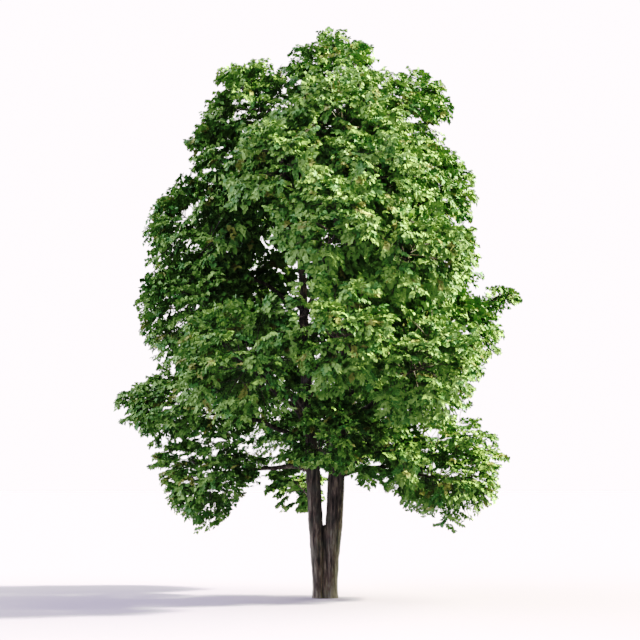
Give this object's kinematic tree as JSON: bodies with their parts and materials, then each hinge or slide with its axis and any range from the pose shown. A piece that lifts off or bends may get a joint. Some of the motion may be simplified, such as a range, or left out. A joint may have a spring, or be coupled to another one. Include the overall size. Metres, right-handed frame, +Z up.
{
  "type": "linden tree",
  "caption": "Two-stemmed linden tree: a forked trunk cut flat at the ground, tall leaders, spreading boughs and an oval crown of separate leaf masses.",
  "frame": {"origin": "middle of the flat cut under the trunk, at ground level, between its two stems", "axes": "+Z straight up, +X to the right and -Y towards the viewer of the picture"},
  "size_m": [5.5508, 5.2481, 7.9438],
  "materials": {
    "bark": "dark grey-brown bark with upright fissures, matt",
    "leaves": "thin green leaves, half matt"
  },
  "bodies": {
    "root": {"trunk": "bark", "left_leader": "bark", "right_leader": "bark", "top_right_bough": "bark", "upper_left_bough": "bark", "upper_right_bough": "bark", "upper_front_left_bough": "bark", "upper_front_right_bough": "bark", "upper_back_left_bough": "bark", "upper_back_right_bough": "bark", "mid_left_bough": "bark", "mid_right_bough": "bark", "mid_front_bough": "bark", "mid_front_right_bough": "bark", "mid_back_left_bough": "bark", "mid_back_right_bough": "bark", "right_spray_bough": "bark", "lower_left_bough": "bark", "lower_right_bough": "bark", "lower_front_left_bough": "bark", "lower_front_bough": "bark", "lower_front_right_bough": "bark", "lower_back_left_bough": "bark", "lower_back_right_bough": "bark", "skirt_left_bough": "bark", "low_left_bough": "bark", "low_right_bough": "bark", "low_back_bough": "bark", "crown_top": "leaves", "top_left": "leaves", "top_front": "leaves", "top_back": "leaves", "top_right": "leaves", "upper_left": "leaves", "upper_right": "leaves", "upper_front_left": "leaves", "upper_front_right": "leaves", "upper_back_left": "leaves", "upper_back_right": "leaves", "mid_left": "leaves", "mid_right": "leaves", "mid_front": "leaves", "mid_front_right": "leaves", "mid_back_left": "leaves", "mid_back_right": "leaves", "right_spray": "leaves", "lower_left": "leaves", "lower_right": "leaves", "lower_front_left": "leaves", "lower_front": "leaves", "lower_front_right": "leaves", "lower_back_left": "leaves", "lower_back_right": "leaves", "skirt_left": "leaves", "low_left": "leaves", "low_right": "leaves", "low_back": "leaves", "inner_right": "leaves", "low_front": "leaves", "inner_left": "leaves"}
  },
  "joints": []
}
